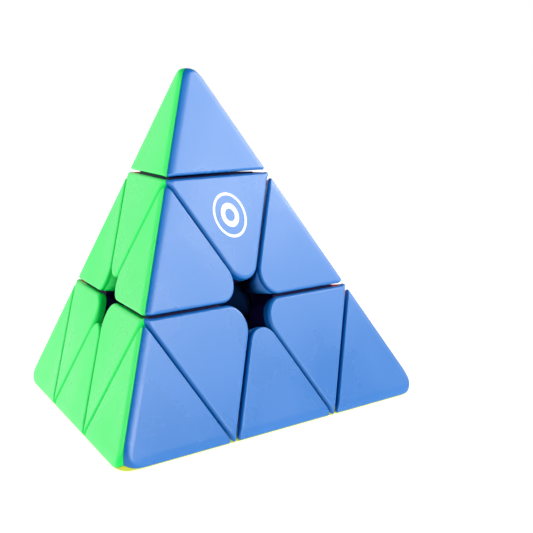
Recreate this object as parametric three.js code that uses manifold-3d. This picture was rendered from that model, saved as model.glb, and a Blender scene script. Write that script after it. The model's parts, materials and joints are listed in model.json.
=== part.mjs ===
// A pyramid twisty puzzle: 4 tips, 4 axial pieces and 6 edge pieces that turn on a core.
// Millimetres, +Z up. The origin is the core's centre, and the blue face looks towards -Y.
import * as THREE from "three";
import { ConvexGeometry } from "three/addons/geometries/ConvexGeometry.js";
import { mergeVertices } from "three/addons/utils/BufferGeometryUtils.js";
import Module from "manifold-3d";

const wasm = await Module();
wasm.setup();

// The outer tetrahedron, before its edges and corners are rounded.
const EDGE = 110;
const FACE = (EDGE * Math.sqrt(6)) / 12; // from the centre to a face

// An edge bends gently away from each face, and then tightly to the seam between the two colours.
const BAND_R = 7;
const BAND_TURN = THREE.MathUtils.degToRad(17);
const BAND_STEPS = 3;
const RIDGE_R = 0.7;
const RIDGE_STEPS = 2;
const SEAM_TURN = Math.acos(1 / Math.sqrt(3)); // from a face to halfway round an edge

// A corner is blunted by a ball that runs on as a cone.
const CORNER_R = 4.3;
const CORNER_TOP = 4.95; // from the sharp corner to the top of the ball
const CORNER_TURN = THREE.MathUtils.degToRad(44); // how far from its axis the ball shows
const CORNER_RINGS = 3;

// The cuts, as distances from the centre along a turning axis.
const TIP_CUT = 37.15;
const LAYER_CUT = 7.7;
const FOOT_CUT = 2.3; // the layer cut inside the foot sphere
const HALF_GAP = 0.25; // each piece stands back from a cut by this much
const SEAM_HALF_GAP = 0.15; // between two coloured shells of one piece

// The spheres on which the layers turn.
const CORE_R = 8;
const FOOT_R = 16;
const BALL_CLEARANCE = 0.5;
const BALL_DETAIL = 3;

// The coloured shells.
const CAP_T = 2;
const CAP_GAP = 0.3;
const HOLLOW_ROUND = 5.3; // corners that meet at the middle of a face
const PIECE_ROUND = 4.5; // corners of the edge pieces that lie on an edge of the tetrahedron
const TIP_ROUND = 1.8; // corners of the tips that lie on an edge of the tetrahedron
const ARC_STEP = 15; // degrees, at most
const SHELL_DEPTH = 40; // deeper than any shell that is cut out of a wedge

// The axial base, with the well that holds the screw and the tip's stem.
const BASE_BOTTOM = 9.9;
const BASE_ROUND_DEPTH = 9;
const POST_R = 7.5;
const SHELF = 17;
const WELL_R = 4.8;
const NECK_R = 4.05;
const NECK_BOTTOM = 31.8;
const BORE_R = 1.6;

// The tip core.
const TIP_TOP = 53;
const STEM_R = 3.65;
const LIP_R = 4.45;
const LIP_BOTTOM = 29.9;
const LIP_TOP = 31.4;

// The screw and the two ring magnets on it.
const SHAFT_R = 1.25;
const SHAFT_BOTTOM = 4.3;
const HEAD_R = 3.2;
const HEAD_BOTTOM = 23.1;
const HEAD_TOP = 25.6;
const SLOT = { length: 4.4, width: 0.9, depth: 1.1 };
const MAGNET_R = 3.9;
const MAGNET_T = 2;
const MAGNET_GAP = 1.6; // held open by the magnets' push
const LOWER_MAGNET = SHELF + 0.3;
const UPPER_MAGNET = LOWER_MAGNET + MAGNET_T + MAGNET_GAP;
const LOWER_HOLE_R = 2;

// The core.
const BOSS_R = 3;
const BOSS_TOP = 9.5;
const CORE_HOLE_BOTTOM = 4;

const TURNED_SEGMENTS = 24;
const FAR = 200;
const PAST = 1; // joined and cutting shapes run past each other by this much
const MERGE = 1e-4;

// Directions of the four corners, and the faces as corners in the same turning order.
// A lower corner's direction drops by SLANT and reaches out from the Z axis by REACH.
const SLANT = -1 / 3;
const REACH = Math.sqrt(1 - SLANT * SLANT);
const corner = (degrees) => {
  const azimuth = THREE.MathUtils.degToRad(degrees);
  return new THREE.Vector3(REACH * Math.cos(azimuth), REACH * Math.sin(azimuth), SLANT);
};
const CORNERS = {
  top: new THREE.Vector3(0, 0, 1),
  left: corner(-150),
  right: corner(-30),
  back: corner(90),
};
const FACES = {
  blue: { opposite: "back", corners: ["top", "left", "right"], colour: 0x2f7de0 },
  green: { opposite: "right", corners: ["top", "back", "left"], colour: 0x3ff07a },
  red: { opposite: "left", corners: ["top", "right", "back"], colour: 0xd8281e },
  yellow: { opposite: "top", corners: ["left", "back", "right"], colour: 0xdcec28 },
};
const PURPLE = 0x2b1552;
const STEEL = 0xb4b6ba;
const NICKEL = 0xc9ccd2;
const normalOf = (face) => CORNERS[FACES[face].opposite].clone().negate();

// A closed three.js geometry as a solid, and a solid as a geometry.
function solid(geometry) {
  const bare = geometry.clone();
  bare.deleteAttribute("normal");
  bare.deleteAttribute("uv");
  const merged = mergeVertices(bare, MERGE);
  return new wasm.Manifold(
    new wasm.Mesh({
      numProp: 3,
      vertProperties: merged.attributes.position.array,
      triVerts: new Uint32Array(merged.index.array),
    }),
  );
}

function geometryOf(body) {
  const mesh = body.getMesh();
  const geometry = new THREE.BufferGeometry();
  geometry.setAttribute("position", new THREE.BufferAttribute(mesh.vertProperties, 3));
  geometry.setIndex(new THREE.BufferAttribute(mesh.triVerts, 1));
  geometry.computeVertexNormals();
  return geometry;
}

// All points p with direction . p below the offset, or above it.
function below(direction, offset) {
  const box = new THREE.BoxGeometry(FAR, FAR, FAR);
  box.translate(0, 0, offset - FAR / 2);
  const turn = new THREE.Quaternion().setFromUnitVectors(CORNERS.top, direction);
  return solid(box.applyQuaternion(turn));
}
const above = (direction, offset) => below(direction.clone().negate(), -offset);
const common = (...bodies) => bodies.reduce((a, b) => a.intersect(b));

const ball = (radius) => solid(new THREE.IcosahedronGeometry(radius, BALL_DETAIL));

// A solid turned about +Z, from its profile of [radius, height] points.
function turned(profile) {
  const points = profile.map(([radius, height]) => new THREE.Vector2(radius, height));
  const lathe = new THREE.LatheGeometry(points, TURNED_SEGMENTS);
  return solid(lathe.rotateX(Math.PI / 2));
}
const cylinder = (radius, bottom, top) =>
  turned([[0, bottom], [radius, bottom], [radius, top], [0, top]]);
const ring = (outer, inner, bottom, top) =>
  turned([[inner, bottom], [outer, bottom], [outer, top], [inner, top], [inner, bottom]]);

// Pieces are drawn once, at the top corner or on the blue face, and then turned into their places.
// A face's own plane has its u to the right and its v up, from the middle of the face to a corner.
const OUT = normalOf("blue");
const RIGHT = new THREE.Vector3(1, 0, 0);
const UP = new THREE.Vector3().crossVectors(OUT, RIGHT);
function pushed(outline, depth) {
  const settings = { depth: depth + PAST, bevelEnabled: false };
  const plate = new THREE.ExtrudeGeometry(new THREE.Shape(outline), settings);
  plate.translate(0, 0, FACE - depth);
  return solid(plate.applyMatrix4(new THREE.Matrix4().makeBasis(RIGHT, UP, OUT)));
}

// The rounding of an edge on one face: distances inside the sharp edge, with their depths.
const BAND_DROP = BAND_R * (1 - Math.cos(BAND_TURN));
const BAND_IN = (BAND_R - RIDGE_R) * Math.sin(BAND_TURN);
const SEAM_DROP = BAND_DROP + RIDGE_R * (Math.cos(BAND_TURN) - Math.cos(SEAM_TURN));
const SEAM_IN = SEAM_DROP * Math.SQRT2;
const BAND_START = SEAM_IN + BAND_IN + RIDGE_R * Math.sin(SEAM_TURN);
function edgeProfile() {
  const points = [];
  for (let i = 0; i < BAND_STEPS; i += 1) {
    const turn = (BAND_TURN * i) / BAND_STEPS;
    points.push([BAND_START - BAND_R * Math.sin(turn), BAND_R * (1 - Math.cos(turn))]);
  }
  for (let i = 0; i <= RIDGE_STEPS; i += 1) {
    const turn = BAND_TURN + ((SEAM_TURN - BAND_TURN) * i) / RIDGE_STEPS;
    const drop = BAND_DROP + RIDGE_R * (Math.cos(BAND_TURN) - Math.cos(turn));
    points.push([BAND_START - BAND_IN - RIDGE_R * Math.sin(turn), drop]);
  }
  return points;
}

// What blunts the top corner: a ball that runs on down as a cone, wider than the whole puzzle.
function blunting() {
  const ballTop = 3 * FACE - CORNER_TOP;
  const profile = [];
  for (let i = CORNER_RINGS; i > 0; i -= 1) {
    const tilt = (CORNER_TURN * i) / CORNER_RINGS;
    profile.push([CORNER_R * Math.sin(tilt), ballTop - CORNER_R * (1 - Math.cos(tilt))]);
  }
  const [startRadius, startHeight] = profile[0];
  const bottom = -2 * FACE;
  const bottomRadius = startRadius + (startHeight - bottom) / Math.tan(CORNER_TURN);
  return turned([[0, bottom], [bottomRadius, bottom], ...profile, [0, ballTop]]);
}

// The rounded outer body: the edges' profiles, mitred where they meet, in a hull with blunted corners.
function outerBody() {
  const names = Object.keys(CORNERS);
  const profile = edgeProfile();
  const points = [];
  for (const name of names) {
    const sharp = CORNERS[name].clone().multiplyScalar(3 * FACE);
    for (const other of names.filter((each) => each !== name)) {
      const along = CORNERS[other].clone().sub(CORNERS[name]).normalize();
      for (const third of names.filter((each) => each !== name && each !== other)) {
        const out = CORNERS[third].clone().negate();
        const opposite = names.find((each) => ![name, other, third].includes(each));
        const inward = CORNERS[opposite].clone().projectOnPlane(out).projectOnPlane(along).normalize();
        for (const [distance, depth] of profile) {
          const mitred = sharp.clone().addScaledVector(along, distance * Math.sqrt(3));
          points.push(mitred.addScaledVector(inward, distance).addScaledVector(out, -depth));
        }
      }
    }
  }
  const blunt = geometryOf(blunting());
  return names.reduce((body, name) => {
    const turn = placed(name, Object.keys(FACES).find((each) => FACES[each].corners.includes(name)));
    return body.intersect(solid(blunt.clone().applyQuaternion(turn)));
  }, solid(mergeVertices(new ConvexGeometry(points), MERGE)));
}

// Where a cut at this distance along a corner's axis crosses the face, from the middle of the face.
const onFace = (cut) => (cut - FACE / 3) / REACH;
// Where it crosses the edge: the distance from the corner it belongs to, or from the other corner.
const fromOwnCorner = (cut) => (EDGE * (3 * FACE - cut)) / (4 * FACE);
const fromOtherCorner = (cut) => (EDGE * (FACE + cut)) / (4 * FACE);

const FACE_IN = (EDGE * Math.sqrt(3)) / 6; // from the middle of a face to its sides
const SIN_60 = Math.sin(Math.PI / 3);
const PAST_EDGE = 3; // outlines run this far past the seam, where the outer body ends them
const FLAT_GAP = (2 * HALF_GAP) / REACH;

// The rounded corners on a seam are arcs centred on it, at these distances from the face's corner.
const SEAM_SHIFT = SEAM_IN * Math.tan(Math.PI / 6);
const TIP_ARC = fromOwnCorner(TIP_CUT + HALF_GAP) - SEAM_SHIFT - TIP_ROUND / SIN_60;
const PIECE_ARC = fromOtherCorner(LAYER_CUT + HALF_GAP) + SEAM_SHIFT + PIECE_ROUND / SIN_60;
const polar = (degrees, length) => {
  const angle = THREE.MathUtils.degToRad(degrees);
  return new THREE.Vector2(length * Math.cos(angle), length * Math.sin(angle));
};
// A point on the right seam, this far below the top corner, and a point straight out past that seam.
const onSeam = (distance) => {
  const side = new THREE.Vector2(distance / 2, 2 * FACE_IN - distance * SIN_60);
  return side.add(polar(210, SEAM_IN));
};
const pastSeam = (point) => point.clone().add(polar(30, PAST_EDGE));

function arc(centre, radius, fromDegrees, toDegrees) {
  const steps = Math.ceil(Math.abs(toDegrees - fromDegrees) / ARC_STEP);
  const points = [];
  for (let i = 0; i <= steps; i += 1) {
    const degrees = fromDegrees + ((toDegrees - fromDegrees) * i) / steps;
    points.push(polar(degrees, radius).add(centre));
  }
  return points;
}

// The whole outline from its right half, listed anticlockwise from the bottom.
function mirrored(half) {
  const other = half.map((point) => new THREE.Vector2(-point.x, point.y)).reverse();
  return [...half, ...other.filter((point) => point.x < 0)];
}

function tipOutline() {
  const rim = arc(onSeam(TIP_ARC), TIP_ROUND, -90, -60);
  return mirrored([...rim, pastSeam(rim.at(-1)), new THREE.Vector2(0, 2 * FACE_IN + PAST_EDGE)]);
}

const AXIAL_CORNER = new THREE.Vector2(0, 2 * HOLLOW_ROUND - 2 * onFace(LAYER_CUT - HALF_GAP));
function axialOutline() {
  const bottom = arc(AXIAL_CORNER, HOLLOW_ROUND, -90, -30);
  const besidePiece = arc(onSeam(PIECE_ARC), PIECE_ROUND + FLAT_GAP, 150, 120);
  const besideTip = arc(onSeam(TIP_ARC), TIP_ROUND + FLAT_GAP, -60, -90);
  const side = [pastSeam(besidePiece.at(-1)), pastSeam(besideTip[0])];
  return mirrored([...bottom, ...besidePiece, ...side, ...besideTip]);
}

// The edge piece between the lower two corners of the face.
function edgeOutline() {
  const lower = new THREE.Vector2(EDGE / 2 - PIECE_ARC, SEAM_IN - FACE_IN);
  const rim = arc(lower, PIECE_ROUND, 0, 30);
  const peak = new THREE.Vector2(0, -2 * HOLLOW_ROUND - 2 * onFace(LAYER_CUT + HALF_GAP));
  const past = rim[0].clone().setY(SEAM_IN - FACE_IN - PAST_EDGE);
  return mirrored([past, ...rim, ...arc(peak, HOLLOW_ROUND, 30, 90)]);
}

// What is cut from an axial base to round the corner that it turns to the middle of a face.
function baseCorner() {
  const rim = arc(AXIAL_CORNER, HOLLOW_ROUND, -30, -90);
  const far = new THREE.Vector2(EDGE, rim[0].y);
  return mirrored([new THREE.Vector2(EDGE, -EDGE), far, ...rim.slice(0, -1)]);
}

// Where a piece drawn for the top corner and the blue face goes: at this corner, on this face.
function placed(name, face) {
  const out = normalOf(face);
  const up = CORNERS[name].clone().projectOnPlane(out).normalize();
  const right = new THREE.Vector3().crossVectors(up, out);
  const there = new THREE.Matrix4().makeBasis(right, up, out);
  const here = new THREE.Matrix4().makeBasis(RIGHT, UP, OUT);
  return new THREE.Quaternion().setFromRotationMatrix(there.multiply(here.transpose()));
}
const turnedAbout = (body, degrees) => solid(geometryOf(body).rotateZ(THREE.MathUtils.degToRad(degrees)));
const THIRDS = [0, 120, 240];

const OUTER = outerBody();
const LOWER_CORNERS = ["left", "right", "back"];
const TOP_FACES = ["blue", "green", "red"];

// The side of the plane between two faces on which the blue shell lies.
function mitre(face) {
  return above(OUT.clone().sub(normalOf(face)).normalize(), SEAM_HALF_GAP);
}

function tipCap() {
  const wedge = common(OUTER, mitre("green"), mitre("red"), above(CORNERS.top, TIP_CUT + HALF_GAP));
  const inside = TOP_FACES.map((face) => below(normalOf(face), FACE - CAP_T));
  const hollow = common(below(CORNERS.top, TIP_TOP + CAP_GAP), ...inside);
  return wedge.intersect(pushed(tipOutline(), SHELL_DEPTH)).subtract(hollow);
}

function axialCap() {
  return common(pushed(axialOutline(), CAP_T), OUTER, mitre("green"), mitre("red"));
}

function edgeHalf() {
  const [left, right] = [CORNERS.left, CORNERS.right];
  const layer = LAYER_CUT + HALF_GAP;
  const wedge = common(OUTER, pushed(edgeOutline(), SHELL_DEPTH), above(left, layer), above(right, layer));
  const foot = common(
    ball(FOOT_R),
    above(left, FOOT_CUT + HALF_GAP),
    above(right, FOOT_CUT + HALF_GAP),
    below(CORNERS.top, FOOT_CUT - HALF_GAP),
    below(CORNERS.back, FOOT_CUT - HALF_GAP),
  );
  return wedge.add(foot.subtract(ball(CORE_R + BALL_CLEARANCE))).intersect(mitre("yellow"));
}

function axialBase() {
  const walls = TOP_FACES.map((face) => below(normalOf(face), FACE - CAP_T - CAP_GAP));
  const layers = LOWER_CORNERS.map((name) => below(CORNERS[name], LAYER_CUT - HALF_GAP));
  const ends = [above(CORNERS.top, LAYER_CUT + HALF_GAP), below(CORNERS.top, TIP_CUT - HALF_GAP)];
  const cutter = pushed(baseCorner(), BASE_ROUND_DEPTH);
  const head = THIRDS.reduce(
    (body, degrees) => body.subtract(turnedAbout(cutter, degrees)),
    common(...walls, ...layers, ...ends).subtract(ball(FOOT_R + BALL_CLEARANCE)),
  );
  const flats = LOWER_CORNERS.map((name) => below(CORNERS[name], FOOT_CUT - HALF_GAP));
  const post = common(cylinder(POST_R, BASE_BOTTOM, SHELF + PAST), ...flats);
  const bore = turned([
    [0, 0],
    [BORE_R, 0],
    [BORE_R, SHELF],
    [WELL_R, SHELF],
    [WELL_R, NECK_BOTTOM],
    [NECK_R, NECK_BOTTOM],
    [NECK_R, TIP_CUT],
    [0, TIP_CUT],
  ]);
  return head.add(post).subtract(bore);
}

function tipCore() {
  const walls = TOP_FACES.map((face) => below(normalOf(face), FACE - CAP_T - CAP_GAP));
  const head = common(...walls, above(CORNERS.top, TIP_CUT + HALF_GAP), below(CORNERS.top, TIP_TOP));
  const stem = turned([
    [0, LIP_BOTTOM],
    [STEM_R, LIP_BOTTOM],
    [LIP_R, LIP_TOP],
    [STEM_R, LIP_TOP],
    [STEM_R, TIP_CUT + PAST],
    [0, TIP_CUT + PAST],
  ]);
  return head.add(stem);
}

function screw() {
  const pin = turned([
    [0, SHAFT_BOTTOM],
    [SHAFT_R, SHAFT_BOTTOM],
    [SHAFT_R, HEAD_BOTTOM],
    [HEAD_R, HEAD_BOTTOM],
    [HEAD_R, HEAD_TOP],
    [0, HEAD_TOP],
  ]);
  const slot = new THREE.BoxGeometry(SLOT.length, SLOT.width, 2 * SLOT.depth).translate(0, 0, HEAD_TOP);
  const across = slot.clone().rotateZ(Math.PI / 2);
  return pin.subtract(solid(slot)).subtract(solid(across));
}

function core() {
  const hole = cylinder(BORE_R, CORE_HOLE_BOTTOM, BOSS_TOP + PAST);
  const boss = cylinder(BOSS_R, 0, BOSS_TOP);
  const onAxis = (body, name) => {
    const turn = new THREE.Quaternion().setFromUnitVectors(CORNERS.top, CORNERS[name]);
    return solid(geometryOf(body).applyQuaternion(turn));
  };
  const names = Object.keys(CORNERS);
  const hub = names.reduce((body, name) => body.add(onAxis(boss, name)), ball(CORE_R));
  return names.reduce((body, name) => body.subtract(onAxis(hole, name)), hub);
}

// The puzzle, one mesh a piece.
const puzzle = new THREE.Group();
function put(parent, name, body, colour, look, turn) {
  const finish = new THREE.MeshStandardMaterial({ color: colour, ...look });
  const mesh = new THREE.Mesh(geometryOf(body), finish);
  mesh.name = name;
  if (turn) mesh.quaternion.copy(turn);
  parent.add(mesh);
}
const GLOSS = { roughness: 0.3, metalness: 0 };
const MATTE = { roughness: 0.5, metalness: 0 };
const METAL = { roughness: 0.3, metalness: 1 };

put(puzzle, "core", core(), PURPLE, MATTE);

const onAxis = {
  axial_base: { body: axialBase(), colour: PURPLE, look: MATTE },
  tip_core: { body: tipCore(), colour: PURPLE, look: MATTE },
  screw: { body: screw(), colour: STEEL, look: METAL },
  lower_ring_magnet: {
    body: ring(MAGNET_R, LOWER_HOLE_R, LOWER_MAGNET, LOWER_MAGNET + MAGNET_T),
    colour: NICKEL,
    look: METAL,
  },
  upper_ring_magnet: {
    body: ring(MAGNET_R, BORE_R, UPPER_MAGNET, UPPER_MAGNET + MAGNET_T),
    colour: NICKEL,
    look: METAL,
  },
};
for (const name of Object.keys(CORNERS)) {
  const axis = new THREE.Group();
  const face = Object.keys(FACES).find((each) => FACES[each].corners.includes(name));
  axis.quaternion.copy(placed(name, face));
  puzzle.add(axis);
  for (const [piece, { body, colour, look }] of Object.entries(onAxis)) {
    put(axis, piece + "_" + name, body, colour, look);
  }
}

const shells = { tip: tipCap(), axial: axialCap(), edge: edgeHalf() };
for (const [face, { corners, colour }] of Object.entries(FACES)) {
  corners.forEach((name, i) => {
    const turn = placed(name, face);
    const ends = [corners[(i + 1) % 3], corners[(i + 2) % 3]];
    const pair = Object.keys(CORNERS).filter((each) => ends.includes(each));
    put(puzzle, "tip_" + name + "_" + face + "_cap", shells.tip, colour, GLOSS, turn);
    put(puzzle, "axial_" + name + "_" + face + "_cap", shells.axial, colour, GLOSS, turn);
    put(puzzle, "edge_" + pair.join("_") + "_" + face + "_half", shells.edge, colour, GLOSS, turn);
  });
}

export default puzzle;
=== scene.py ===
"""Looks for the pyramid twisty puzzle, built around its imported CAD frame."""

import json
import math

import bmesh
import bpy
import numpy as np
from mathutils import Matrix, Vector, geometry, kdtree


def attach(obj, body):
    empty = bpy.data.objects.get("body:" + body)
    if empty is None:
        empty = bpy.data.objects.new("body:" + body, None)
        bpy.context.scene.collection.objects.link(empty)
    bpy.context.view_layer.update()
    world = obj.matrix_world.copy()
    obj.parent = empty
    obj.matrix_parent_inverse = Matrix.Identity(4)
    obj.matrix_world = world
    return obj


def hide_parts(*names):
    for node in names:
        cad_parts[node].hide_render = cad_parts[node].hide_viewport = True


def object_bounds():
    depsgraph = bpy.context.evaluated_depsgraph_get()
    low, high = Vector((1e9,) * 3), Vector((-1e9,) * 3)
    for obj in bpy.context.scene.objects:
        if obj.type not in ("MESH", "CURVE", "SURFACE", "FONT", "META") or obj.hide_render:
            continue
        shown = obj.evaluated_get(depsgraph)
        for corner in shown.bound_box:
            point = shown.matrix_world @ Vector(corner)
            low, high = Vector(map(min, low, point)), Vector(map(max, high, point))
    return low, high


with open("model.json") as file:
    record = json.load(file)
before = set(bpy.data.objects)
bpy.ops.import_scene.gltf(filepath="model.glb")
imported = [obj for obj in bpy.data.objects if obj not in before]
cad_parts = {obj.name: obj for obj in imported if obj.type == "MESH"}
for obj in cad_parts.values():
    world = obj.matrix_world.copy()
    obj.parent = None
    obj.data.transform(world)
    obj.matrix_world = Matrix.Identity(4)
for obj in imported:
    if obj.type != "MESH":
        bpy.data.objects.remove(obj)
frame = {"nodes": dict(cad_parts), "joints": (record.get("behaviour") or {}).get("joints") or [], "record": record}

CAD_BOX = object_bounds()
MM = 0.001  # the shapes below are worked out in millimetres

# ---------------------------------------------------------------- the frame's own directions
RECORD = frame["record"]
FACE_OUT = {m["name"].removesuffix("_face"): Vector(m["axis"]) for m in RECORD["mounts"]}
CORNER_DIR = {
    j["name"].removeprefix("turn_"): Vector(j["axis"])
    for j in frame["joints"]
    if j["name"].startswith("turn_")
}
FACE = sum(Vector(m["pos_m"]).dot(Vector(m["axis"])) for m in RECORD["mounts"]) / 4 / MM
FACES = {
    "blue": ("top", "left", "right"),
    "green": ("top", "back", "left"),
    "red": ("top", "right", "back"),
    "yellow": ("left", "back", "right"),
}
ORDER = ("top", "left", "right", "back")

EDGE = FACE * 12 / math.sqrt(6)
FACE_IN = EDGE * math.sqrt(3) / 6  # from the middle of a face to its sides
# A corner's direction leans against a face by SLANT and runs along it by REACH.
SLANT = 1 / 3
REACH = math.sqrt(8) / 3

# ---------------------------------------------------------------- sizes, as the CAD has them
TIP_CUT = 37.15
LAYER_CUT = 7.7
CAD_HALF_GAP = 0.25
TIP_ROUND = 1.8
PIECE_ROUND = 4.5
HOLLOW_ROUND = 5.3

# An edge of the body bends gently at first and then tightly; a corner is blunted by a ball.
BAND_R = 7.0
BAND_TURN = 17.0
RIDGE_R = 0.7
BALL_R = 4.3
BALL_TOP = 4.95  # from the sharp corner to the top of the ball
CONE_ANGLE = 46.0  # half the angle of the cone that carries the ball on, outside the edges
BLEND = 0.6  # how softly the ball runs into the rest
CORNER_ZONE = 30.0  # only this near to a corner can it be blunted

# The shown caps stand this little bit outside the CAD walls.
HALF_GAP = 0.2
SEAM_GAP = 0.03
SEAM_EDGE = 0.06  # rounding of the fine seams between two colours
TIP_EDGE = 0.55  # rounding of the borders along the cuts
AXIAL_EDGE = 0.95
PIECE_EDGE = 0.55
CAP_DEPTH = 2.0
LOWER_FROM = 1.3  # an edge piece's lower body starts this deep, inside its cap

PROUD = (CAD_HALF_GAP - HALF_GAP) / REACH  # the same along a face
FLAT_GAP = 2 * CAD_HALF_GAP / REACH
SIN_SEAM = math.sqrt(2 / 3)  # of the angle between a face and a seam
BAND_SIN = math.sin(math.radians(BAND_TURN))
BAND_COS = math.cos(math.radians(BAND_TURN))
# Where an edge's rounding meets the seam, and where it starts, from the sharp edge.
SEAM_IN = math.sqrt(2) * (BAND_R * (1 - BAND_COS) + RIDGE_R * (BAND_COS - 1 / math.sqrt(3)))
BAND_START = SEAM_IN + (BAND_R - RIDGE_R) * BAND_SIN + RIDGE_R * SIN_SEAM
RAY_START = 4.2  # rays across the bands start this far inside the sharp edge
SEAM_SHIFT = SEAM_IN * math.tan(math.pi / 6)
SIN_60 = math.sin(math.pi / 3)


def from_own(cut):
    return EDGE * (3 * FACE - cut) / (4 * FACE)


def from_other(cut):
    return EDGE * (FACE + cut) / (4 * FACE)


def on_face(cut):
    return (cut - FACE / 3) / REACH


TIP_ARC = from_own(TIP_CUT + CAD_HALF_GAP) - SEAM_SHIFT - TIP_ROUND / SIN_60
PIECE_ARC = from_other(LAYER_CUT + CAD_HALF_GAP) + SEAM_SHIFT + PIECE_ROUND / SIN_60


def polar(degrees, length=1.0):
    a = math.radians(degrees)
    return np.array([length * math.cos(a), length * math.sin(a)])


def on_seam(distance):
    side = np.array([distance / 2, 2 * FACE_IN - distance * SIN_60])
    return side + polar(210, SEAM_IN)


# ---------------------------------------------------------------- the rounded outer body
SIDES = (30, 150, 270)  # directions of a face's sides and corners, in degrees
TOPS = (90, 210, 330)
TINY = 1e-3  # step for slopes, and the shortest length that counts
FAR = 1e9
RIDGE_END = 0.96  # the ridge's circle is followed to nearly upright


def edge_depth(x):
    """How deep the rounding of an edge is, at a distance from the sharp edge along the face."""
    m = BAND_START - x
    gentle = BAND_R - np.sqrt(BAND_R**2 - np.clip(m, 0, BAND_R * BAND_SIN) ** 2)
    over = np.clip(m - (BAND_R - RIDGE_R) * BAND_SIN, 0, RIDGE_R * RIDGE_END)
    drop = BAND_R * (1 - BAND_COS) + RIDGE_R * BAND_COS
    tight = drop - np.sqrt(RIDGE_R**2 - over**2)
    return np.where(m > BAND_R * BAND_SIN, tight, gentle)


def smooth_max(a, b, k):
    near = np.maximum(k - np.abs(a - b), 0) / k
    return np.maximum(a, b) + near * near * k / 4


def corner_depth(u, v):
    """How deep the blunted corner is, where v runs along the face to the sharp corner at 0."""
    cone_sin = math.sin(math.radians(CONE_ANGLE))
    cone_cos2 = 1 - cone_sin**2
    centre = BALL_TOP + BALL_R
    y = v + centre * REACH
    ball = np.sqrt(np.maximum(BALL_R**2 - u * u - y * y, TINY**2))
    on_ball = (REACH * y + ball * SLANT > BALL_R * cone_sin) & (ball > 10 * TINY)
    apex = centre - BALL_R / cone_sin
    y = v + apex * REACH
    # The cone's height above the face solves a * height^2 - b * height + c = 0.
    a = cone_cos2 - SLANT**2
    b = 2 * REACH * SLANT * y
    c = cone_cos2 * u * u - (REACH**2 - cone_cos2) * y * y
    cone = (b + np.sqrt(np.maximum(b * b - 4 * a * c, 0))) / (2 * a)
    return np.where(on_ball, centre * SLANT - ball, apex * SLANT - cone)


def depth_at(p):
    depth = np.zeros(len(p))
    for degrees in SIDES:
        depth = np.maximum(depth, edge_depth(FACE_IN - p @ polar(degrees)))
    for degrees in TOPS:
        u, v = p @ polar(degrees - 90), p @ polar(degrees) - 2 * FACE_IN
        depth = np.where(v > -CORNER_ZONE, smooth_max(depth, corner_depth(u, v), BLEND), depth)
    return depth


def surface(p):
    """Points and normals of the outer body under points of the face's plane, where w = 0."""
    du = (depth_at(p + [TINY, 0]) - depth_at(p - [TINY, 0])) / (2 * TINY)
    dv = (depth_at(p + [0, TINY]) - depth_at(p - [0, TINY])) / (2 * TINY)
    normal = np.column_stack([du, dv, np.ones(len(p))])
    normal /= np.linalg.norm(normal, axis=1)[:, None]
    return np.column_stack([p, -depth_at(p)]), normal


def seam_distance(point, sides):
    """Distance of points from the planes in which this face's colour meets its neighbours'."""
    best = np.full(len(point), FAR)
    for degrees in sides:
        out = polar(degrees)
        g = SIN_SEAM * (FACE + point[:, 2]) - (point[:, :2] @ out) / math.sqrt(3)
        best = np.minimum(best, g - SEAM_GAP)
    return best


def fillet(t, r):
    return np.where(t < r, r - np.sqrt(np.maximum(r * r - (r - t) ** 2, 0)), 0)


# ---------------------------------------------------------------- outlines of the three caps
ARC_STEP = 4.0
ARC_MARGIN = 12  # degrees past its ends for which an arc still counts
OUTSIDE = 0.5  # and this far outside a border


class Arc:
    """A round stretch of a border, bulging out of the cap or into it."""

    def __init__(self, centre, radius, start, end, convex=True):
        self.c, self.r, self.a0, self.a1, self.convex = centre, radius, start, end, convex

    def points(self, t, extra=0.0, extra_end=0.0):
        r = self.r - t if self.convex else self.r + t
        sign = 1 if self.a1 > self.a0 else -1
        a0, a1 = self.a0 - sign * extra, self.a1 + sign * extra_end
        steps = max(2, round(abs(a1 - a0) / ARC_STEP))
        return [self.c + polar(a0 + (a1 - a0) * i / steps, r) for i in range(steps + 1)]

    def distance(self, p):
        d = p - self.c
        length = np.maximum(np.linalg.norm(d, axis=1), 1e-9)
        away = d / length[:, None]
        low, high = min(self.a0, self.a1), max(self.a0, self.a1)
        angle = np.degrees(np.arctan2(d[:, 1], d[:, 0]))
        middle = (low + high) / 2
        off = np.abs((angle - middle + 180) % 360 - 180)
        inside = off <= (high - low) / 2 + ARC_MARGIN
        t = self.r - length if self.convex else length - self.r
        t = np.where(inside & (t > -OUTSIDE), t, FAR)
        return t, -away if self.convex else away


class Line:
    """A straight stretch of a border."""

    def __init__(self, a, b, inward):
        self.a, self.b, self.n = np.array(a, float), np.array(b, float), polar(inward)

    def points(self, t, *_):
        return [self.a + self.n * t, self.b + self.n * t]

    def distance(self, p):
        d = self.b - self.a
        length = np.linalg.norm(d)
        along = (p - self.a) @ (d / length)
        t = (p - self.a) @ self.n
        inside = (along >= -TINY) & (along <= length + TINY) & (t > -OUTSIDE)
        return np.where(inside, t, FAR), np.broadcast_to(self.n, p.shape)


LEAST_RATE = 0.2  # walls that run nearly along the cut's own direction are not moved far
SHIFT_ENDS = 4.5  # this far inside a border, the underside is not moved with the wall


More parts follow.
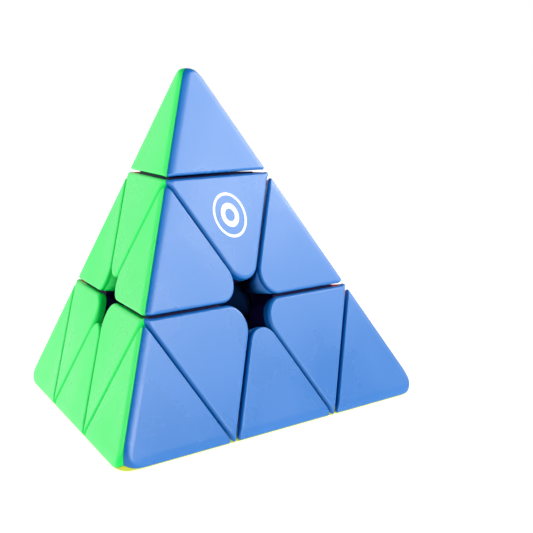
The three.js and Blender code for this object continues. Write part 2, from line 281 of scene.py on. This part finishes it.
class Cap:
    """One of the three cap shapes, worked out on the half with u >= 0 and mirrored."""

    def __init__(self, name, curves, sides, edge, plane=None):
        self.name, self.curves, self.sides, self.edge = name, curves, sides, edge
        self.plane = plane  # the cut that its walls follow: in-plane direction and offset

    def cut_distance(self, p):
        best = np.full(len(p), FAR)
        inward = np.tile(np.array([0.0, -1.0]), (len(p), 1))
        for group in self.curves:
            for curve in group:
                t, n = curve.distance(p)
                closer = t < best
                best[closer] = t[closer]
                inward[closer] = n[closer]
        return best, inward

    def half(self, p):
        sign = np.where(p[:, 0] < 0, -1.0, 1.0)
        return np.column_stack([np.abs(p[:, 0]), p[:, 1]]), sign

    def top(self, p, at_cut=None, at_seam=None):
        """Points of the finished outer surface over points of the face's plane."""
        h, sign = self.half(p)
        point, normal = surface(h)
        t, _ = self.cut_distance(h)
        g = seam_distance(point, self.sides)
        if at_cut is not None:
            t = np.where(at_cut, 0, t)
            g = np.where(at_seam, 0, g)
        sunk = fillet(np.maximum(t, 0), self.edge) + fillet(np.maximum(g, 0), SEAM_EDGE)
        point = point - normal * sunk[:, None]
        point[:, 0] *= sign
        return point

    def normals(self, p):
        e = 0.3 * TINY
        du = self.top(p + [e, 0]) - self.top(p - [e, 0])
        dv = self.top(p + [0, e]) - self.top(p - [0, e])
        n = np.cross(du, dv)
        return n / np.linalg.norm(n, axis=1)[:, None]

    def sunk(self, p, depth):
        """Points of the walls, or of the underside, this deep below the outer body."""
        h, sign = self.half(p)
        point, normal = surface(h)
        t, inward = self.cut_distance(h)
        t = np.maximum(t, 0)
        point = point - normal * depth
        if self.plane is not None:
            direction, cut = self.plane
            r = self.edge
            below = np.clip((depth - r) / r, 0, SLANT)
            circle = r * (1 - math.sqrt(1 - below * below))
            rate = np.maximum(inward @ direction, LEAST_RATE)
            height = point[:, :2] @ direction + (FACE + point[:, 2]) * SLANT
            shift = np.maximum(circle, (cut - height + t * rate) / rate)
            shift = np.maximum(shift, 0) * np.clip(1 - t / SHIFT_ENDS, 0, 1)
            point[:, :2] += inward * shift[:, None]
        point[:, 0] *= sign
        return point


HALVINGS = 45


def clip_angle(cap, arc, start, end):
    """The angle on an arc at which it meets the seam, between one inside and one past it."""
    for _ in range(HALVINGS):
        middle = (start + end) / 2
        p = (arc.c + polar(middle, arc.r))[None]
        if seam_distance(surface(p)[0], cap.sides)[0] > 0:
            start = middle
        else:
            end = middle
    return start


def rays(side, reaches):
    """Starts and directions of rays across an edge's band, for distances along a side."""
    out, along = polar(side), polar(side + 90)
    origin = out * (FACE_IN - RAY_START) + along * reaches[:, None]
    return origin, np.tile(out, (len(reaches), 1))


def corner_rays(angles):
    start = polar(90, 2 * (FACE_IN - RAY_START))
    return np.tile(start, (len(angles), 1)), np.array([polar(a) for a in angles])


def seam_points(cap, bundle, g):
    """The points along rays at which the seam is this far away."""
    origin, direction = bundle
    low, high = np.zeros(len(origin)), np.full(len(origin), RAY_START)
    for _ in range(HALVINGS):
        middle = (low + high) / 2
        point = surface(origin + direction * middle[:, None])[0]
        inside = seam_distance(point, cap.sides) > g
        low = np.where(inside, middle, low)
        high = np.where(inside, high, middle)
    return origin + direction * low[:, None]


def mirrored(points):
    return [np.array([-p[0], p[1]]) for p in reversed(points)]


# How much further in a rounding starts beside a slanted wall.
INSET = (1 + SLANT) * math.tan(math.asin(SLANT)) - (1 - REACH)

# ---- the tip's cap
inset = INSET * TIP_EDGE - PROUD
tip_rim = Arc(on_seam(TIP_ARC), TIP_ROUND - inset, -90, -60)
tip_low = tip_rim.points(0)[0]
TIP = Cap(
    "tip",
    [[Line((0, tip_low[1]), tip_low, 90), tip_rim]],
    (30, 150),
    TIP_EDGE,
    (np.array([0, REACH]), TIP_CUT + HALF_GAP),
)

# ---- the axial piece's cap
axial_corner = np.array([0, 2 * HOLLOW_ROUND - 2 * on_face(LAYER_CUT - CAD_HALF_GAP)])
axial_bottom = Arc(axial_corner, HOLLOW_ROUND + PROUD, -90, -30)
axial_piece = Arc(on_seam(PIECE_ARC), PIECE_ROUND + FLAT_GAP - PROUD, 150, 120, convex=False)
axial_tip = Arc(on_seam(TIP_ARC), TIP_ROUND + FLAT_GAP - PROUD, -60, -90, convex=False)
axial_high = axial_tip.points(0)[-1]
AXIAL = Cap(
    "axial",
    [
        [axial_bottom, Line(axial_bottom.points(0)[-1], axial_piece.points(0)[0], 150), axial_piece],
        [axial_tip, Line(axial_high, (0, axial_high[1]), 270)],
    ],
    (30, 150),
    AXIAL_EDGE,
)

# ---- the edge piece's half, between the lower two corners of the face
inset = INSET * PIECE_EDGE - PROUD
piece_foot = Arc(np.array([EDGE / 2 - PIECE_ARC, SEAM_IN - FACE_IN]), PIECE_ROUND - inset, 0, 30)
piece_peak = Arc(
    np.array([0, -2 * HOLLOW_ROUND - 2 * on_face(LAYER_CUT + CAD_HALF_GAP)]),
    HOLLOW_ROUND - inset,
    30,
    90,
)
PIECE = Cap(
    "edge",
    [[piece_foot, Line(piece_foot.points(0)[-1], piece_peak.points(0)[0], 210), piece_peak]],
    (270,),
    PIECE_EDGE,
    (polar(210, REACH), LAYER_CUT + HALF_GAP),
)

# Each arc that ends on a seam is cut back to it.
tip_rim.a1 = clip_angle(TIP, tip_rim, -90, -50)
axial_piece.a1 = clip_angle(AXIAL, axial_piece, 150, 110)
axial_tip.a0 = clip_angle(AXIAL, axial_tip, -90, -50)
piece_foot.a0 = clip_angle(PIECE, piece_foot, 30, -10)

# ---------------------------------------------------------------- meshing a cap
# Rows across the bands, this far inside the sharp edge, and more of them round a corner.
ROWS_IN = (3.3, 3.1, 2.8, 2.4, 2.0, 1.6, 1.4, 1.25, 1.1, 0.95)
BAND_ROWS = [(RAY_START - x) / (RAY_START - SEAM_IN) for x in ROWS_IN]
CORNER_ROWS = (0.06, 0.12, 0.18, 0.34, 0.48)
CUT_ROWS = (0, 18, 36, 54, 72)  # rows round a border's fillet, in degrees
SEAM_ROWS = (1, 0.62, 0.29, 0.076)  # rows round a seam's fillet, as shares of its width
ROW_PAST = 0.6  # rows run past the borders by this much, and round arcs by these degrees
ARC_PAST = 5
CORNER_RAYS = 17
NEAR_CORNER = 4.0  # the rays along an edge stand closer together this near to its corner

# Which end of an arc lies on a seam.
ENDS = {tip_rim: 1, axial_piece: 1, axial_tip: 0, piece_foot: 0}


def cut_rows(cap, t):
    """The cut borders moved inwards by t, run past the seams a little."""
    rows = []
    for group in cap.curves:
        row = []
        for curve in group:
            past = [0.0, 0.0]
            if curve in ENDS:
                past[ENDS[curve]] = ARC_PAST
            row += curve.points(t, *past)
        rows.append(row)
    return rows


def side_s(p, side):
    """A point's place along a side, in that side's own direction."""
    return float(p @ polar(side + 90))


def band_bundle(cap, past):
    """Rays across the rounded bands: from one cut border to the other, run past both by a little."""
    if cap is TIP:
        start = side_s(tip_rim.points(0)[-1], 30)
        end = EDGE / 2 - RAY_START * math.sqrt(3)
        plain = np.linspace(start - past, end - NEAR_CORNER, 9)
        near = np.linspace(end - NEAR_CORNER, end, 6)
        reach = np.concatenate([plain, near[1:]])
        return [rays(30, reach), corner_rays(np.linspace(30, 90, CORNER_RAYS)[1:])]
    if cap is AXIAL:
        low = side_s(axial_piece.points(0)[-1], 30)
        high = side_s(axial_tip.points(0)[0], 30)
        return [rays(30, np.linspace(low - past, high + past, 9))]
    end = side_s(piece_foot.points(0)[0], 270)
    return [rays(270, np.linspace(0, end + past, 15))]


def joined(bundles):
    return tuple(np.concatenate(parts) for parts in zip(*bundles, strict=True))


def outline(cap):
    """A cap's border in the face's plane, anticlockwise."""
    cuts = [[p for curve in group for p in curve.points(0)] for group in cap.curves]
    seam = list(seam_points(cap, joined(band_bundle(cap, 0)), 0.0))
    if cap is TIP:
        half = cuts[0] + seam[1:]
    elif cap is AXIAL:
        half = cuts[0] + seam[1:-1] + cuts[1]
    else:
        half = seam[:-1] + cuts[0]
    clean = []
    for p in half + mirrored(half):
        if not clean or np.linalg.norm(p - clean[-1]) > TINY:
            clean.append(p)
    if np.linalg.norm(clean[0] - clean[-1]) < TINY:
        clean.pop()
    return clean


def across(cap, half):
    """A row over both halves: one line for the tip and the edge piece, two for the axial piece."""
    half = list(half)
    if cap is TIP:
        return [half + mirrored(half)]
    if cap is AXIAL:
        return [half, mirrored(half)]
    return [mirrored(half) + half]


def rows_of(cap):
    """The rows of points that a cap is meshed along."""
    rows = []
    for degrees in CUT_ROWS:
        t = cap.edge * (1 - math.sin(math.radians(degrees)))
        for row in cut_rows(cap, t):
            rows.append(row)
            rows.append(mirrored(row))
    bundles = band_bundle(cap, ROW_PAST)
    bundle = joined(bundles)
    seam = seam_points(cap, bundle, 0)
    for share in BAND_ROWS:
        rows += across(cap, bundle[0] + (seam - bundle[0]) * share)
    if cap is TIP:
        start = bundles[1][0]
        seam = seam_points(cap, bundles[1], 0)
        for share in CORNER_ROWS:
            rows += across(cap, start + (seam - start) * share)
    for share in SEAM_ROWS:
        rows += across(cap, seam_points(cap, bundle, SEAM_EDGE * share))
    return rows


SAME = 1e-5  # points this close together are one


def triangulated(loop, rows):
    """Triangles of the inside of a loop, with the rows as edges in them."""
    verts, edges = [Vector(p) for p in loop], []
    for row in rows:
        first = len(verts)
        verts += [Vector(p) for p in row]
        edges += [(first + i, first + i + 1) for i in range(len(row) - 1)]
    inside_only = 1
    rim = list(range(len(loop)))
    made = geometry.delaunay_2d_cdt(verts, edges, [rim], inside_only, SAME, True)
    coords, faces, origins = made[0], made[2], made[5]
    keep = [f for f, o in zip(faces, origins, strict=True) if 0 in o]
    used = sorted({i for f in keep for i in f})
    index = {old: new for new, old in enumerate(used)}
    return np.array([coords[i][:] for i in used]), [tuple(index[i] for i in f) for f in keep]


def border(faces):
    """The border of a triangulation, as one loop in the faces' own direction."""
    directed = {(f[i], f[(i + 1) % 3]) for f in faces for i in range(3)}
    follow = {a: b for a, b in directed if (b, a) not in directed}
    start = min(follow)
    loop = [start]
    while follow[loop[-1]] != start:
        loop.append(follow[loop[-1]])
    assert len(loop) == len(follow), "the border isn't one loop"
    return loop


ON_BORDER = 0.006  # border points this near to a wall or a seam are on it
WALL_RINGS = (7 / 6, 4 / 3)  # rings of a slanted wall, as shares of its rounding's radius
UNDERSIDE_ROWS = (BAND_ROWS[0], BAND_ROWS[4], BAND_ROWS[7])
UNDERSIDE_IN = 0.5  # the underside's rows stop this far inside the borders


def border_normals(cap, p, normals, at_cut, at_seam):
    """Border points take the normal of the wall, or of the seam, that goes down from them."""
    h, sign = cap.half(p)
    _, inward = cap.cut_distance(h)
    wall = np.column_stack([-inward[:, 0] * sign, -inward[:, 1], np.zeros(len(p))])
    out = polar(cap.sides[0]) / math.sqrt(3)
    full = np.ones(len(p))
    seam = np.column_stack([sign * out[0], full * out[1], full * -SIN_SEAM])
    normals[at_cut] = wall[at_cut]
    normals[at_seam] = seam[at_seam]


def cap_walls(cap, p, loop, verts, faces):
    """Adds the walls under a cap's border, ring by ring, and gives the lowest ring."""
    levels = [CAP_DEPTH]
    if cap.plane is not None:
        levels = [cap.edge * share + SEAM_EDGE for share in WALL_RINGS] + [CAP_DEPTH]
    above = loop
    for depth in levels:
        first = len(verts)
        verts += [tuple(v) for v in cap.sunk(p[loop], depth)]
        below = [first + i for i in range(len(loop))]
        for i in range(len(loop)):
            j = (i + 1) % len(loop)
            faces.append((above[j], above[i], below[i], below[j]))
        above = below
    return above


def cap_underside(cap, rim, ring, verts, faces):
    """Adds the underside inside the lowest ring, with a few rows where the outer body bends."""
    rows = []
    bundle = joined(band_bundle(cap, 0))
    seam = seam_points(cap, bundle, 0)
    for share in UNDERSIDE_ROWS:
        for row in across(cap, bundle[0] + (seam - bundle[0]) * share):
            if not row:
                continue
            t, _ = cap.cut_distance(cap.half(np.array(row))[0])
            rows.append([q for q, away in zip(row, t, strict=True) if away > UNDERSIDE_IN])
    low, low_faces = triangulated(list(rim), rows)
    index = {}
    for k, q in enumerate(low):
        gaps = np.linalg.norm(rim - q, axis=1)
        best = int(gaps.argmin())
        if gaps[best] < SAME:
            index[k] = ring[best]
    inner = [k for k in range(len(low)) if k not in index]
    if inner:
        for k, v in zip(inner, cap.sunk(low[inner], CAP_DEPTH), strict=True):
            index[k] = len(verts)
            verts.append(tuple(v))
    faces += [tuple(index[k] for k in reversed(f)) for f in low_faces]


def cap_mesh(cap):
    """A cap in (u, v, w) as vertices, faces and the exact normals of its outer vertices."""
    p, faces = triangulated(outline(cap), rows_of(cap))
    loop = border(faces)
    h, _ = cap.half(p)
    t, _ = cap.cut_distance(h)
    g = seam_distance(surface(h)[0], cap.sides)
    on_border = np.zeros(len(p), bool)
    on_border[loop] = True
    at_cut = on_border & (t < ON_BORDER)
    at_seam = on_border & (g < ON_BORDER)
    normals = cap.normals(p)
    border_normals(cap, p, normals, at_cut, at_seam)
    known = ~(at_cut & at_seam)
    verts = [tuple(v) for v in cap.top(p, at_cut, at_seam)]
    exact = [(verts[i], tuple(normals[i]), bool(on_border[i])) for i in range(len(p)) if known[i]]
    ring = cap_walls(cap, p, loop, verts, faces)
    cap_underside(cap, p[loop], ring, verts, faces)
    return verts, faces, exact


# ---------------------------------------------------------------- from (u, v, w) to the object
def placement(corner, face):
    """Where a cap goes that was worked out for this corner on this face."""
    out = FACE_OUT[face]
    up = (CORNER_DIR[corner] - out * CORNER_DIR[corner].dot(out)).normalized()
    right = up.cross(out)
    m = Matrix((right, up, out)).transposed().to_4x4()
    m.translation = out * FACE
    return Matrix.Scale(MM, 4) @ m


def check_closed(mesh):
    bm = bmesh.new()
    bm.from_mesh(mesh)
    assert all(e.is_manifold for e in bm.edges), f"{mesh.name} isn't closed"
    bm.free()


def plain_mesh(name, verts, faces):
    mesh = bpy.data.meshes.new(name)
    mesh.from_pydata(verts, [], faces)
    mesh.update()
    return mesh


WELD = 1e-3
CAD_WELD = 1e-7  # in metres


def merged(mesh, distance):
    """Joins vertices that lie this close together, which leaves no slivers between them."""
    bm = bmesh.new()
    bm.from_mesh(mesh)
    bmesh.ops.remove_doubles(bm, verts=bm.verts, dist=distance)
    bmesh.ops.dissolve_degenerate(bm, edges=bm.edges, dist=distance / 10)
    bm.to_mesh(mesh)
    bm.free()
    return mesh


def lower_body(node, place):
    """The CAD half of an edge piece in (u, v, w), without what its cap covers."""
    bm = bmesh.new()
    bm.from_mesh(frame["nodes"][node].data)
    bmesh.ops.remove_doubles(bm, verts=bm.verts, dist=CAD_WELD)
    bmesh.ops.transform(bm, matrix=place.inverted(), verts=bm.verts)
    everything = bm.verts[:] + bm.edges[:] + bm.faces[:]
    made = bmesh.ops.bisect_plane(
        bm, geom=everything, plane_co=(0, 0, -LOWER_FROM), plane_no=(0, 0, 1), clear_outer=True
    )
    rim = [e for e in made["geom_cut"] if isinstance(e, bmesh.types.BMEdge)]
    bmesh.ops.holes_fill(bm, edges=rim, sides=0)
    bmesh.ops.recalc_face_normals(bm, faces=bm.faces)
    mesh = bpy.data.meshes.new("lower")
    bm.to_mesh(mesh)
    bm.free()
    return mesh


def united(a, b):
    first = bpy.data.objects.new("first", a)
    second = bpy.data.objects.new("second", b)
    for o in (first, second):
        bpy.context.scene.collection.objects.link(o)
    modifier = first.modifiers.new("union", "BOOLEAN")
    modifier.operation = "UNION"
    modifier.solver = "MANIFOLD"
    modifier.object = second
    bpy.context.view_layer.update()
    result = bpy.data.meshes.new_from_object(first.evaluated_get(bpy.context.evaluated_depsgraph_get()))
    for o in (first, second):
        bpy.data.objects.remove(o)
    return result


SLIVER = 1e-4  # faces this small have no dependable normal of their own
MATCHES = 1.2 * WELD  # a vertex this near to an exact one takes its normal
AGREES = 0.6  # least cosine between a face's normal and an exact one that it takes
SHARP_ANGLE = 38


def with_normals(mesh, exact):
    """Sets the exact normals, at the border only on the faces that agree with them."""
    mesh.shade_smooth()
    mesh.set_sharp_from_angle(angle=math.radians(SHARP_ANGLE))
    tree = kdtree.KDTree(len(exact))
    for i, (point, _, _) in enumerate(exact):
        tree.insert(point, i)
    tree.balance()
    base = [n.vector.copy() for n in mesh.corner_normals]
    found = {}
    for v in mesh.vertices:
        _, i, gap = tree.find(v.co)
        if gap < MATCHES:
            found[v.index] = (Vector(exact[i][1]), exact[i][2])
    for polygon in mesh.polygons:
        for k in polygon.loop_indices:
            n, at_border = found.get(mesh.loops[k].vertex_index, (None, False))
            if n is None:
                continue
            if not at_border or polygon.area < SLIVER or n.dot(polygon.normal) > AGREES:
                base[k] = n
    mesh.normals_split_custom_set(base)
    return mesh


PIECE_PLACE = placement("top", "blue")
MASTERS = {}
for cap in (TIP, AXIAL, PIECE):
    verts, faces, exact = cap_mesh(cap)
    mesh = merged(plain_mesh(cap.name, verts, faces), WELD)
    if cap is PIECE:
        mesh = merged(united(mesh, lower_body("edge_left_right_blue_half", PIECE_PLACE)), WELD / 2)
    check_closed(mesh)
    MASTERS[cap.name] = with_normals(mesh, exact)


# ---------------------------------------------------------------- materials
def material(name):
    m = bpy.data.materials.new(name)
    m.use_nodes = True
    nodes = m.node_tree.nodes
    return m, nodes, m.node_tree.links, nodes["Principled BSDF"]


def noise(nodes, links, vector, scale, detail):
    node = nodes.new("ShaderNodeTexNoise")
    node.inputs["Scale"].default_value = scale
    node.inputs["Detail"].default_value = detail
    links.new(vector, node.inputs["Vector"])
    return node.outputs["Fac"]


def ranged(nodes, links, value, low, high, to_low, to_high):
    node = nodes.new("ShaderNodeMapRange")
    node.inputs["From Min"].default_value = low
    node.inputs["From Max"].default_value = high
    node.inputs["To Min"].default_value = to_low
    node.inputs["To Max"].default_value = to_high
    links.new(value, node.inputs["Value"])
    return node.outputs["Result"]


def math_node(nodes, links, operation, a, b):
    node = nodes.new("ShaderNodeMath")
    node.operation = operation
    for socket, value in zip(node.inputs[:2], (a, b), strict=True):
        if isinstance(value, float):
            socket.default_value = value
        else:
            links.new(value, socket)
    return node.outputs["Value"]


def mixed(nodes, links, factor, a, b):
    """Two colours mixed by a factor: b is a colour, and a is a colour or a socket."""
    node = nodes.new("ShaderNodeMix")
    node.data_type = "RGBA"
    node.inputs["B"].default_value = (*b, 1)
    if isinstance(a, tuple):
        node.inputs["A"].default_value = (*a, 1)
    else:
        links.new(a, node.inputs["A"])
    links.new(factor, node.inputs["Factor"])
    return node.outputs["Result"]


def bumped(nodes, links, shader, height, strength, distance):
    node = nodes.new("ShaderNodeBump")
    node.inputs["Strength"].default_value = strength
    node.inputs["Distance"].default_value = distance
    links.new(height, node.inputs["Height"])
    links.new(node.outputs["Normal"], shader.inputs["Normal"])


# Noise scales are in features a metre, and so are the two directions that the scratches run in.
SMUDGES = 42
SMUDGE_LEVELS = (0.35, 0.65)  # the noise's own range, or most of it
SMOOTHER = 0.05
ROUGHER = 0.06
DARKER = 0.95
LIGHTER = 1.04
LIFTED = 0.002
GRAINS = 1500
PATCHES = 130
PATCH_LEVELS = (0.55, 0.62)  # scratches show where the patches' noise is above these
SCRATCHES = (
    {"turn": (0.3, 0.5, 0.9), "stretch": (70, 420, 300), "width": 0.006},
    {"turn": (1.1, -0.4, 2.3), "stretch": (500, 60, 260), "width": 0.005},
)
SCRATCH_DEPTH = 0.8  # against the grain's
SCRATCH_ROUGHNESS = 0.10
GRAIN_HEIGHT = 0.00002
GRAIN_STRENGTH = 0.35

# Painted shade: under a face the colour is darkened from one depth to the other, standing for the shade deep in
# the gaps and hollows.
PAINTED_SHADE_FROM = 0.0014
PAINTED_SHADE_TO = 0.0050
PAINTED_SHADE_FACTOR = 0.06
PAINTED_SHADE_TINT = (0.002, 0.002, 0.012)


def scratches(nodes, links, vector, turn, stretch, width):
    """Fine lines: 1 on a scratch and 0 beside it, broken up so that they start and stop."""
    mapping = nodes.new("ShaderNodeMapping")
    mapping.inputs["Rotation"].default_value = turn
    mapping.inputs["Scale"].default_value = stretch
    links.new(vector, mapping.inputs["Vector"])
    cells = nodes.new("ShaderNodeTexVoronoi")
    cells.feature = "DISTANCE_TO_EDGE"
    cells.inputs["Scale"].default_value = 1
    links.new(mapping.outputs["Vector"], cells.inputs["Vector"])
    line = ranged(nodes, links, cells.outputs["Distance"], 0.0, width, 1.0, 0.0)
    where = ranged(nodes, links, noise(nodes, links, vector, PATCHES, 2), *PATCH_LEVELS, 0.0, 1.0)
    return math_node(nodes, links, "MULTIPLY", line, where)


def unshaded_share(nodes, links, vector, face):
    """1 near a face's plane and 0 deep under it, where the painted shade is full."""
    height = nodes.new("ShaderNodeVectorMath")
    height.operation = "DOT_PRODUCT"
    height.inputs[1].default_value = FACE_OUT[face]
    links.new(vector, height.inputs[0])
    top = FACE * MM
    return ranged(nodes, links, height.outputs["Value"], top - PAINTED_SHADE_FROM, top - PAINTED_SHADE_TO, 1.0, 0.0)


def worn_and_shaded(name, colour, rough, metal=0.0, specular=0.5, face=None):
    """A moulded, plated or printed finish: smudges, a fine grain and a few scratches, and, given a face, painted
    shade deep under it.
    """
    m, nodes, links, shader = material(name)
    shader.inputs["Metallic"].default_value = metal
    shader.inputs["Specular IOR Level"].default_value = specular
    vector = nodes.new("ShaderNodeTexCoord").outputs["Object"]
    smudge = noise(nodes, links, vector, SMUDGES, 4)
    grains = noise(nodes, links, vector, GRAINS, 2)
    first, second = (scratches(nodes, links, vector, **each) for each in SCRATCHES)
    lines = math_node(nodes, links, "MAXIMUM", first, second)
    dark = tuple(c * DARKER for c in colour)
    light = tuple(min(c * LIGHTER + LIFTED, 1) for c in colour)
    smudged_and_shaded = mixed(nodes, links, smudge, dark, light)
    # Painted shade: deep under the face the colour goes over to a much darker version of itself and the specular
    # fades out, standing for the shade in the gaps, the hollows and on the lower bodies.
    if face is not None:
        unshaded = unshaded_share(nodes, links, vector, face)
        deep = math_node(nodes, links, "SUBTRACT", 1.0, unshaded)
        inner = tuple(c * PAINTED_SHADE_FACTOR + d for c, d in zip(colour, PAINTED_SHADE_TINT, strict=True))
        smudged_and_shaded = mixed(nodes, links, deep, smudged_and_shaded, inner)
        shaded_specular = math_node(nodes, links, "MULTIPLY", unshaded, specular)
        links.new(shaded_specular, shader.inputs["Specular IOR Level"])
    links.new(smudged_and_shaded, shader.inputs["Base Color"])
    uneven = ranged(nodes, links, smudge, *SMUDGE_LEVELS, rough - SMOOTHER, rough + ROUGHER)
    scratched = math_node(nodes, links, "MULTIPLY", lines, SCRATCH_ROUGHNESS)
    links.new(math_node(nodes, links, "ADD", uneven, scratched), shader.inputs["Roughness"])
    cut = math_node(nodes, links, "MULTIPLY", lines, SCRATCH_DEPTH)
    height = math_node(nodes, links, "SUBTRACT", grains, cut)
    bumped(nodes, links, shader, height, GRAIN_STRENGTH, GRAIN_HEIGHT)
    return m


LOOKS = {
    "blue": worn_and_shaded("blue plastic", (0.0, 0.140, 0.477), 0.3, face="blue"),
    "green": worn_and_shaded("green plastic", (0.0, 0.81, 0.11), 0.3, specular=0.3, face="green"),
    "red": worn_and_shaded("red plastic", (0.62, 0.012, 0.008), 0.3, face="red"),
    "yellow": worn_and_shaded("yellow plastic", (0.52, 0.6, 0.010), 0.3, face="yellow"),
    "purple": worn_and_shaded("purple plastic", (0.010, 0.004, 0.055), 0.55, specular=0.12),
    "steel": worn_and_shaded("steel", (0.52, 0.52, 0.54), 0.36, metal=1.0),
    "magnet": worn_and_shaded("nickel plating", (0.66, 0.63, 0.58), 0.24, metal=1.0),
    "white": worn_and_shaded("white print", (0.86, 0.88, 0.9), 0.45),
}

# ---------------------------------------------------------------- the visible pieces
BODY_OF = {n: b for b, ns in RECORD["behaviour"]["bodies"].items() for n in ns}
SLOT_OF = {s["node"]: s["material_slot"] for s in RECORD["subparts"]}


def shown(master, node, place, look):
    """Shows one of the caps in place of its CAD node."""
    mesh = MASTERS[master].copy()
    mesh.name = node + "_shell"
    normals = [place.to_3x3().normalized() @ n.vector for n in mesh.corner_normals]
    mesh.transform(place)
    mesh.normals_split_custom_set([n.normalized() for n in normals])
    mesh.materials.clear()
    mesh.materials.append(LOOKS[look])
    o = bpy.data.objects.new(node + "_shell", mesh)
    bpy.context.scene.collection.objects.link(o)
    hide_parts(node)
    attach(o, BODY_OF[node])
    return o


for face, corners in FACES.items():
    for corner in corners:
        place = placement(corner, face)
        shown("tip", f"tip_{corner}_{face}_cap", place, face)
        shown("axial", f"axial_{corner}_{face}_cap", place, face)
        a, b = sorted((c for c in corners if c != corner), key=ORDER.index)
        shown("edge", f"edge_{a}_{b}_{face}_half", place, face)

# A small printed mark on the top corner's blue cap: a ring round a smaller one.
MARK_CENTRE = np.array([-0.3, 21.2])
MARK_RINGS = ((5.6, 4.9), (3.0, 1.6))
MARK_SEGMENTS = 48
MARK_SUNK = 0.2
MARK_PROUD = 0.02


def flat_ring(outer, inner, first):
    """A ring as a closed prism."""
    verts, faces = [], []
    for i in range(MARK_SEGMENTS):
        for reach in (outer, inner):
            u, v = MARK_CENTRE + polar(360 * i / MARK_SEGMENTS, reach)
            verts += [(u, v, -MARK_SUNK), (u, v, MARK_PROUD)]
    for i in range(MARK_SEGMENTS):
        a, b = first + 4 * i, first + 4 * ((i + 1) % MARK_SEGMENTS)
        faces += [
            (a + 1, b + 1, b + 3, a + 3),
            (a, a + 2, b + 2, b),
            (a, b, b + 1, a + 1),
            (a + 3, b + 3, b + 2, a + 2),
        ]
    return verts, faces


mark_verts, mark_faces = [], []
for outer_reach, inner_reach in MARK_RINGS:
    more_verts, more_faces = flat_ring(outer_reach, inner_reach, len(mark_verts))
    mark_verts += more_verts
    mark_faces += more_faces
mark_mesh = plain_mesh("printed_mark", mark_verts, mark_faces)
mark_mesh.transform(placement("top", "blue"))
mark_mesh.materials.append(LOOKS["white"])
mark = bpy.data.objects.new("printed_mark", mark_mesh)
bpy.context.scene.collection.objects.link(mark)
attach(mark, BODY_OF["axial_top_blue_cap"])

# The other CAD nodes are shown as they are, shaded smooth.
CAD_SHARP_ANGLE = 35
for name, node in frame["nodes"].items():
    if name.endswith(("_cap", "_half")):
        continue
    node.data.shade_smooth()
    node.data.set_sharp_from_angle(angle=math.radians(CAD_SHARP_ANGLE))
    look = LOOKS[SLOT_OF[name]]
    if not node.material_slots:
        node.data.materials.append(look)
    for slot in node.material_slots:
        slot.material = look

# ---------------------------------------------------------------- floor, light and camera
FLOOR_Z = CAD_BOX[0].z
FLOOR_REACH = 6
around = ((-1, -1), (1, -1), (1, 1), (-1, 1))
floor_corners = [(x * FLOOR_REACH, y * FLOOR_REACH, FLOOR_Z) for x, y in around]
floor_mesh = plain_mesh("floor", floor_corners, [(0, 1, 2, 3)])
floor = bpy.data.objects.new("floor", floor_mesh)
bpy.context.scene.collection.objects.link(floor)
m, nodes, links, shader = material("pale floor")
shader.inputs["Base Color"].default_value = (0.5, 0.5, 0.5, 1)
shader.inputs["Roughness"].default_value = 0.5
shader.inputs["Emission Color"].default_value = (1, 1, 1, 1)
shader.inputs["Emission Strength"].default_value = 0.8
FLOOR_GRAINS = 700
grain = noise(nodes, links, nodes.new("ShaderNodeTexCoord").outputs["Object"], FLOOR_GRAINS, 3)
bumped(nodes, links, shader, grain, strength=0.2, distance=0.00005)
floor_mesh.materials.append(m)

world = bpy.data.worlds.new("studio")
bpy.context.scene.world = world
world.use_nodes = True
nodes, links = world.node_tree.nodes, world.node_tree.links
direction = nodes.new("ShaderNodeTexCoord").outputs["Generated"]
split = nodes.new("ShaderNodeSeparateXYZ")
links.new(direction, split.inputs["Vector"])
# White walls that darken upwards into the ceiling, by the height that a direction points to.
WALL_TOP = 0.22
CEILING = 0.55
CEILING_STRENGTH = 0.12
walls = ranged(nodes, links, split.outputs["Z"], WALL_TOP, CEILING, 1.0, CEILING_STRENGTH)
nodes["Background"].inputs["Color"].default_value = (1, 1, 1, 1)
links.new(walls, nodes["Background"].inputs["Strength"])


def softbox(name, azimuth, elevation, distance, size, power):
    """An area light in that direction from the object, facing it."""
    a, e = math.radians(azimuth), math.radians(elevation)
    toward = Vector((math.cos(a) * math.cos(e), math.sin(a) * math.cos(e), math.sin(e)))
    light = bpy.data.lights.new(name, "AREA")
    light.shape = "RECTANGLE"
    light.size, light.size_y = size
    light.energy = power
    o = bpy.data.objects.new(name, light)
    o.location = toward * distance
    o.rotation_euler = toward.to_track_quat("Z", "Y").to_euler()
    bpy.context.scene.collection.objects.link(o)
    return o


softbox("strip softbox", -34, 26, 1.2, (1.4, 0.36), 9.5)
softbox("front softbox", -75, 8, 1.3, (0.9, 0.7), 9.5)
softbox("fill softbox", 132, 32, 1.2, (0.8, 0.8), 8)

# The camera turns about +Z, then tips down and rolls, and stands back along its own axes (in mm).
CAM_AZIMUTH = math.radians(-48.88)
CAM_ELEVATION = math.radians(7.166)
CAM_ROLL = math.radians(-0.562)
CAM_PLACE = (18.89, 13.85, 360.76)
level = math.cos(CAM_ELEVATION)
back = Vector((math.sin(CAM_AZIMUTH) * level, -math.cos(CAM_AZIMUTH) * level, math.sin(CAM_ELEVATION)))
right = Vector((math.cos(CAM_AZIMUTH), math.sin(CAM_AZIMUTH), 0))
turn = Matrix((right, back.cross(right), back)).transposed() @ Matrix.Rotation(CAM_ROLL, 3, "Z")
camera = bpy.data.cameras.new("camera")
camera.lens = 98.45
camera.sensor_width = 36
camera.clip_start = 0.01
cam = bpy.data.objects.new("camera", camera)
cam.matrix_world = Matrix.Translation(turn @ Vector(CAM_PLACE) * MM) @ turn.to_4x4()
bpy.context.scene.collection.objects.link(cam)
bpy.context.scene.camera = cam
bpy.context.scene.view_settings.view_transform = "Standard"
